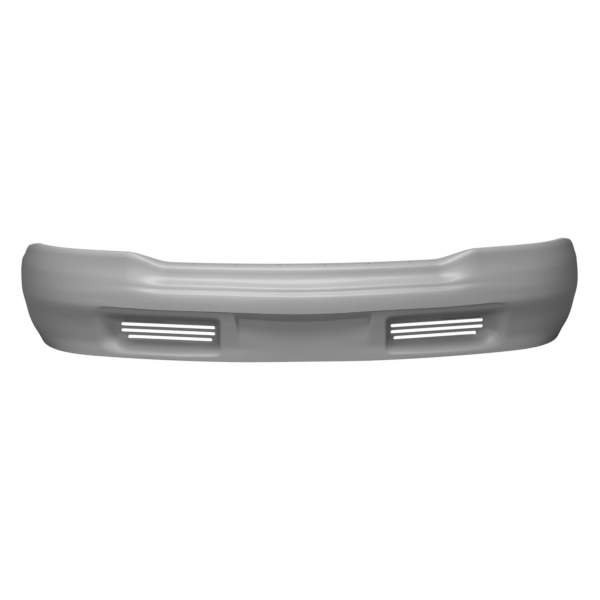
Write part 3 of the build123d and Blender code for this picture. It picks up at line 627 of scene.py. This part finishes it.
def cutting_tools(bm):
    """The slots, the grooves and the fixing holes, which are cut out of the skin."""
    through = [(-THROUGH / 2, 0), (THROUGH / 2, 0)]
    slot_levels = [(-WALL - THROUGH, 0), (-SLOT_BREAK, 0), (0, SLOT_BREAK), (THROUGH, SLOT_BREAK)]
    foot = FRONT_LOWER[-1][0] + BOTTOM_STEP[0] + BOTTOM_FLANGE[0]
    for side in (-1, 1):
        for i, (span, shift) in enumerate(zip(SLOT_LENGTHS, SLOT_SHIFTS)):
            height = SLOT_TOP - SLOT_PITCH * i
            origin, outboard, _ = axes_at(POCKET_AT, POCKET_FLOOR_DEPTH, height, side)
            outline = round_slot(span, SLOT_HEIGHT)
            add_prism(bm, origin + outboard * shift, outboard * side, UP, outline, slot_levels)
        origin, outboard, _ = axes_at(POCKET_AT, POCKET_FLOOR_DEPTH, GROOVE_LEVEL, side)
        outline = round_slot(GROOVE_LENGTH, GROOVE_HEIGHT)
        groove_levels = [(-GROOVE_DEPTH, 0), (THROUGH, 0)]
        add_prism(bm, origin + outboard * GROOVE_SHIFT, outboard * side, UP, outline, groove_levels)
        for length in BODY_HOLES_AT:
            origin, outboard, forward = axes_at(length, UPPER_ROW_INSET, CENTRE_UPPER[0][1], side)
            add_prism(bm, origin, outboard * side, forward, ring(BODY_HOLE_RADIUS), through)
        for length in LOWER_NUTS_AT:
            origin, outboard, forward = axes_at(length, foot - NUT_HOLE_IN, BOTTOM_STEP[1], side)
            add_prism(bm, origin, outboard * side, forward, ring(FLANGE_HOLE_RADIUS), through)
        for height in WHEEL_NUTS_HIGH:
            place, away = wheel_hole(height)
            place.x *= side
            across = Vector((1, 0, 0))
            add_prism(bm, place, across, away.cross(across), ring(FLANGE_HOLE_RADIUS), through)


def root_in_wall(foot, forward):
    """Moves the vertices of a pad's foot from the pad's top to halfway through the skin's wall."""
    for vertex in foot:
        inner_face = skin.ray_cast(vertex.co, forward)[1]
        vertex.co = inner_face + forward * (WALL / 2 * MM)


def moulded_on(bm):
    """The pegs under the top flange and on the bottom flange, and the pads with pegs behind the sides."""
    peg_levels = [(-WALL / 2, 0), (PEG_LENGTH - PEG_CHAMFER, 0), (PEG_LENGTH, -PEG_CHAMFER)]
    slimmer = PEG_RADIUS - PAD_RADIUS
    pad_levels = [(0, 0), (0, 0), (0, slimmer)]
    pad_levels += [(height, growth + slimmer) for height, growth in peg_levels[1:]]
    under_flange = CENTRE_UPPER[0][1] - WALL
    for side in (-1, 1):
        for length in UPPER_PEGS_AT:
            if length or side > 0:
                origin, outboard, forward = axes_at(length, UPPER_ROW_INSET, under_flange, side)
                add_prism(bm, origin, outboard * side, forward, ring(PEG_RADIUS), peg_levels)
        for length in LOWER_PEGS_AT:
            if length or side > 0:
                origin, outboard, forward = axes_at(length, LOWER_ROW_INSET, BOTTOM_STEP[1] + WALL, side)
                add_prism(bm, origin, outboard * side, -forward, ring(PEG_RADIUS), peg_levels)
        for ahead, height in BRACKET_PEGS:
            origin, outboard, forward = axes_at(BRACKET_AT, BRACKET_INSET, height, side)
            pad = add_prism(bm, origin - outboard * ahead, -outboard * side, UP, ring(PAD_RADIUS), pad_levels)
            root_in_wall(pad[0], forward)


def combined(thing, fill, operation):
    """Cuts the shapes that fill draws out of a mesh object, or joins them to it."""
    bm = bmesh.new()
    fill(bm)
    mesh = bpy.data.meshes.new("tool")
    bm.to_mesh(mesh)
    bm.free()
    tool = bpy.data.objects.new("tool", mesh)
    bpy.context.scene.collection.objects.link(tool)
    boolean = thing.modifiers.new("boolean", "BOOLEAN")
    boolean.operation, boolean.solver, boolean.object = operation, "EXACT", tool
    bpy.context.view_layer.update()
    graph = bpy.context.evaluated_depsgraph_get()
    result = bpy.data.meshes.new_from_object(thing.evaluated_get(graph))
    thing.modifiers.remove(boolean)
    thing.data = result
    bpy.data.objects.remove(tool)


# ---- Materials ------------------------------------------------------------------------------------------
# Painted shade: the primer's colour is darkened where nearby walls enclose the skin, as in the pockets and
# the plate recess.
RECESS_REACH = 0.09  # how far off, in metres, a facing wall makes a place count as a recess
RECESS_SPAN = (0.25, 0.7)  # openness from deep inside a recess to fully open
RECESS_SHADE_TONE = 0.2  # brightness the painted shade leaves at the bottom of a recess
RECESS_SAMPLES = 8
NOISE_SPAN = (0.3, 0.7)  # what the noise texture's values mostly lie between
PATCH_DETAIL, GLOSS_DETAIL, GRAIN_DETAIL = 3, 2, 2
GLOSS_FINER = 3  # how much finer the patches of gloss are than those of colour


def noise_between(tree, scale, detail, low, high):
    """The output of a noise texture in object space whose value is spread between low and high."""
    nodes, links = tree.nodes, tree.links
    place = nodes.new("ShaderNodeTexCoord")
    noise = nodes.new("ShaderNodeTexNoise")
    noise.inputs["Scale"].default_value = scale
    noise.inputs["Detail"].default_value = detail
    spread = nodes.new("ShaderNodeMapRange")
    spread.inputs["From Min"].default_value, spread.inputs["From Max"].default_value = NOISE_SPAN
    spread.inputs["To Min"].default_value = low
    spread.inputs["To Max"].default_value = high
    links.new(place.outputs["Object"], noise.inputs["Vector"])
    links.new(noise.outputs["Fac"], spread.inputs["Value"])
    return spread.outputs["Result"]


def surface(name, dark, light, patch, rough, metallic, grain, grain_height):
    """A material whose colour drifts between two tints in patches, with uneven gloss and a fine grain.

    Patch and grain are the noises' scales, in cells per metre; the grain's height is in metres.
    """
    material = bpy.data.materials.new(name)
    material.use_nodes = True
    tree = material.node_tree
    nodes, links = tree.nodes, tree.links
    shader = nodes["Principled BSDF"]
    shader.inputs["Metallic"].default_value = metallic
    tint = nodes.new("ShaderNodeMix")
    tint.data_type = "RGBA"
    tint.inputs["A"].default_value = (*dark, 1)
    tint.inputs["B"].default_value = (*light, 1)
    links.new(noise_between(tree, patch, PATCH_DETAIL, 0, 1), tint.inputs["Factor"])
    links.new(tint.outputs["Result"], shader.inputs["Base Color"])
    links.new(noise_between(tree, patch * GLOSS_FINER, GLOSS_DETAIL, *rough), shader.inputs["Roughness"])
    bump = nodes.new("ShaderNodeBump")
    bump.inputs["Distance"].default_value = grain_height
    links.new(noise_between(tree, grain, GRAIN_DETAIL, 0, 1), bump.inputs["Height"])
    links.new(bump.outputs["Normal"], shader.inputs["Normal"])
    return material


def primer():
    """Grey primer, even and satin, with shade painted into its colour in the recesses."""
    material = surface(
        "grey_primer",
        dark=(0.292, 0.293, 0.296),
        light=(0.308, 0.309, 0.312),
        patch=6,
        rough=(0.38, 0.42),
        metallic=0,
        grain=1500,
        grain_height=4e-6,
    )
    nodes, links = material.node_tree.nodes, material.node_tree.links
    colour = nodes["Principled BSDF"].inputs["Base Color"]
    # painted shade: ambient occlusion scales the base colour down in recesses
    open_air = nodes.new("ShaderNodeAmbientOcclusion")
    open_air.samples = RECESS_SAMPLES
    open_air.only_local = True
    open_air.inputs["Distance"].default_value = RECESS_REACH
    painted_shade_factor = nodes.new("ShaderNodeMapRange")
    painted_shade_factor.inputs["From Min"].default_value, painted_shade_factor.inputs["From Max"].default_value = RECESS_SPAN
    painted_shade_factor.inputs["To Min"].default_value = RECESS_SHADE_TONE
    links.new(open_air.outputs["AO"], painted_shade_factor.inputs["Value"])
    shaded_base_colour = nodes.new("ShaderNodeVectorMath")
    shaded_base_colour.operation = "SCALE"
    links.new(colour.links[0].from_socket, shaded_base_colour.inputs["Vector"])
    links.new(painted_shade_factor.outputs["Result"], shaded_base_colour.inputs["Scale"])
    links.new(shaded_base_colour.outputs["Vector"], colour)
    return material


def black_coat():
    """Black dip coat on pressed steel."""
    return surface(
        "black_coat",
        dark=(0.018, 0.018, 0.019),
        light=(0.034, 0.034, 0.036),
        patch=25,
        rough=(0.4, 0.55),
        metallic=0,
        grain=700,
        grain_height=3e-5,
    )


def phosphate():
    """Dark phosphate on spring steel."""
    return surface(
        "dark_phosphate",
        dark=(0.09, 0.09, 0.1),
        light=(0.17, 0.17, 0.18),
        patch=120,
        rough=(0.4, 0.6),
        metallic=0.85,
        grain=2500,
        grain_height=1.5e-5,
    )


def zinc():
    """Yellowish zinc plate."""
    return surface(
        "zinc_plate",
        dark=(0.55, 0.53, 0.44),
        light=(0.68, 0.64, 0.5),
        patch=60,
        rough=(0.28, 0.42),
        metallic=1.0,
        grain=1800,
        grain_height=1e-5,
    )


# ---- The skin and the hardware --------------------------------------------------------------------------
skin_vertices, skin_faces = surface_mesh()
skin = build_mesh("bumper_skin", *thickened(skin_vertices, skin_faces))
combined(skin, moulded_on, "UNION")
combined(skin, cutting_tools, "DIFFERENCE")
skin.data.polygons.foreach_set("use_smooth", [True] * len(skin.data.polygons))
skin.data.set_sharp_from_angle(angle=math.radians(SHARP_ANGLE))
skin.data.materials.clear()
skin.data.materials.append(primer())
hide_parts("fascia_skin")
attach(skin, "root")

finishes = {"black_steel": black_coat(), "spring_steel": phosphate(), "zinc_steel": zinc()}
for part in frame["record"]["subparts"]:
    if part["material_slot"] in finishes:
        node = frame["nodes"][part["node"]]
        node.data.materials.clear()
        node.data.materials.append(finishes[part["material_slot"]])


# ---- Camera ---------------------------------------------------------------------------------------------
AZIMUTH, ELEVATION, ROLL = math.radians(-1.2), math.radians(13.0), math.radians(0.35)
DISTANCE = 4.944  # metres
TARGET = Vector((0.0, 0.1545 - HALF_DEPTH * MM, 0.1648))  # 0.1545 behind the nose
SENSOR_WIDTH, LENS = 36.0, 98.496  # millimetres
SHIFT = (-0.0037, -0.0045)  # the lens's shift across and up, in picture widths


def point_camera():
    """The camera: slightly above the cover and a little to one side, far away and with a long lens."""
    back = Vector((
        math.sin(AZIMUTH) * math.cos(ELEVATION),
        -math.cos(AZIMUTH) * math.cos(ELEVATION),
        math.sin(ELEVATION),
    ))
    right = (-back).cross(UP).normalized()
    up = right.cross(-back)
    turned_right = right * math.cos(ROLL) - up * math.sin(ROLL)
    turned_up = right * math.sin(ROLL) + up * math.cos(ROLL)
    data = bpy.data.cameras.new("camera")
    data.sensor_width = SENSOR_WIDTH
    data.lens = LENS
    data.shift_x, data.shift_y = SHIFT
    camera = bpy.data.objects.new("camera", data)
    rotation = Matrix((turned_right, turned_up, back)).transposed().to_4x4()
    camera.matrix_world = Matrix.Translation(TARGET + back * DISTANCE) @ rotation
    bpy.context.scene.collection.objects.link(camera)
    bpy.context.scene.camera = camera


point_camera()


# ---- Studio ---------------------------------------------------------------------------------------------
ROOM_LIGHT = 0.17  # strength of the even light from all round
FLOOR_BOUNCE = 0.26  # the floor's reflectance, for every ray but the camera's
FLOOR_REACH, FLOOR_GAP = 6.0, 0.0005  # metres: half the floor's side, and how far it lies below the cover
LIT_PLACE = (0.0, -0.2, 0.15)  # the place both soft boxes face


def soft_light(name, place, size, power):
    """A rectangular soft box that faces the cover; place and size are in metres and the power is in watts."""
    light = bpy.data.lights.new(name, "AREA")
    light.shape = "RECTANGLE"
    light.size, light.size_y = size
    light.energy = power
    box = bpy.data.objects.new(name, light)
    facing = Vector(LIT_PLACE) - Vector(place)
    box.matrix_world = Matrix.Translation(place) @ facing.to_track_quat("-Z", "Y").to_matrix().to_4x4()
    bpy.context.scene.collection.objects.link(box)


def lit_room():
    """A white background for the camera, with a dim, even room around it for everything else."""
    world = bpy.data.worlds.new("studio")
    bpy.context.scene.world = world
    world.use_nodes = True
    nodes, links = world.node_tree.nodes, world.node_tree.links
    dim = nodes["Background"]
    dim.inputs["Color"].default_value = (1, 1, 1, 1)
    dim.inputs["Strength"].default_value = ROOM_LIGHT
    white = nodes.new("ShaderNodeBackground")
    white.inputs["Color"].default_value = (1, 1, 1, 1)
    white.inputs["Strength"].default_value = 1.0
    path = nodes.new("ShaderNodeLightPath")
    choose = nodes.new("ShaderNodeMixShader")
    links.new(path.outputs["Is Camera Ray"], choose.inputs["Fac"])
    links.new(dim.outputs["Background"], choose.inputs[1])
    links.new(white.outputs["Background"], choose.inputs[2])
    links.new(choose.outputs["Shader"], nodes["World Output"].inputs["Surface"])


def pale_floor():
    """A wide floor that the camera sees as white paper and that throws little light back up."""
    corners = [(x * FLOOR_REACH, y * FLOOR_REACH, 0) for x, y in ((-1, -1), (1, -1), (1, 1), (-1, 1))]
    floor = build_mesh("floor", corners, [(0, 1, 2, 3)])
    floor.location.z = -FLOOR_GAP
    material = bpy.data.materials.new("paper")
    material.use_nodes = True
    nodes, links = material.node_tree.nodes, material.node_tree.links
    nodes.remove(nodes["Principled BSDF"])
    dark = nodes.new("ShaderNodeBsdfDiffuse")
    dark.inputs["Color"].default_value = (FLOOR_BOUNCE, FLOOR_BOUNCE, FLOOR_BOUNCE, 1)
    white = nodes.new("ShaderNodeEmission")
    path = nodes.new("ShaderNodeLightPath")
    choose = nodes.new("ShaderNodeMixShader")
    links.new(path.outputs["Is Camera Ray"], choose.inputs["Fac"])
    links.new(dark.outputs["BSDF"], choose.inputs[1])
    links.new(white.outputs["Emission"], choose.inputs[2])
    links.new(choose.outputs["Shader"], nodes["Material Output"].inputs["Surface"])
    floor.data.materials.append(material)


lit_room()
pale_floor()
soft_light("overhead_box", place=(-0.22, -0.9, 2.6), size=(2.4, 1.2), power=88)
soft_light("front_box", place=(-0.85, -3.2, 2.2), size=(2.6, 1.0), power=43)
bpy.context.scene.view_settings.view_transform = "Standard"
